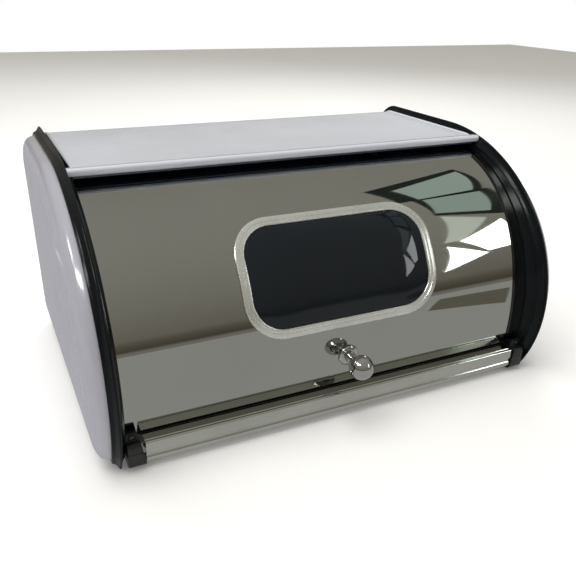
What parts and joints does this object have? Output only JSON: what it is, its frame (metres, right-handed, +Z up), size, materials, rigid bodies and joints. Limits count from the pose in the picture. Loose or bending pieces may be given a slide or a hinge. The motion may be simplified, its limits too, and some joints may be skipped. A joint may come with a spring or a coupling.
{
  "type": "bread bin",
  "caption": "Roll-top bread bin: white steel body, black D-shaped end frames, mirror-finish roll-up door with smoked window and ball knob.",
  "frame": {"origin": "centre of the bounding box, on the surface that the bin stands on", "axes": "+X along the bin towards its right end, -Y out of the front, where the knob is, +Z up"},
  "size_m": [0.392, 0.2866, 0.1909],
  "materials": {
    "black_plastic": "semi-gloss moulded black",
    "white_enamel": "glossy white enamel",
    "grey_liner": "satin grey coating",
    "polished_steel": "polished steel",
    "mirror_steel": "mirror-polished steel",
    "brushed_steel": "satin brushed steel",
    "plated_steel": "zinc plated",
    "dark_screw": "blackened steel",
    "smoked_acrylic": "smoked, glossy",
    "black_rubber": "matte rubber",
    "white_nylon": "natural nylon"
  },
  "bodies": {
    "bin_body": {"body_shell": "white_enamel", "base_panel": "white_enamel", "left_end_frame": "black_plastic", "left_end_panel": "white_enamel", "left_side_liner": "grey_liner", "left_pivot_pin": "plated_steel", "left_sill_block": "black_plastic", "left_sill_screw": "dark_screw", "left_rear_bracket": "black_plastic", "left_rear_screw": "plated_steel", "left_front_foot": "black_rubber", "left_rear_foot": "black_rubber", "right_end_frame": "black_plastic", "right_end_panel": "white_enamel", "right_side_liner": "grey_liner", "right_pivot_pin": "plated_steel", "right_sill_block": "black_plastic", "right_sill_screw": "dark_screw", "right_rear_bracket": "black_plastic", "right_rear_screw": "plated_steel", "right_front_foot": "black_rubber", "right_rear_foot": "black_rubber", "header_strip": "black_plastic", "front_sill": "polished_steel"},
    "door": {"door_sheet": "mirror_steel", "left_door_arm": "black_plastic", "left_pivot_bush": "white_nylon", "right_door_arm": "black_plastic", "right_pivot_bush": "white_nylon", "door_bottom_seal": "black_rubber", "window_bezel": "brushed_steel", "window_pane": "smoked_acrylic", "window_retainer": "black_plastic", "knob_flange": "polished_steel", "knob_ball": "polished_steel", "knob_screw": "plated_steel", "knob_washer": "plated_steel"}
  },
  "joints": [
    {"name": "door_roll", "type": "hinge", "parent": "bin_body", "child": "door", "pos_m": [0, 0.0127, 0.053], "axis": [-1, 0, 0], "range_deg": [0, 72]}
  ]
}
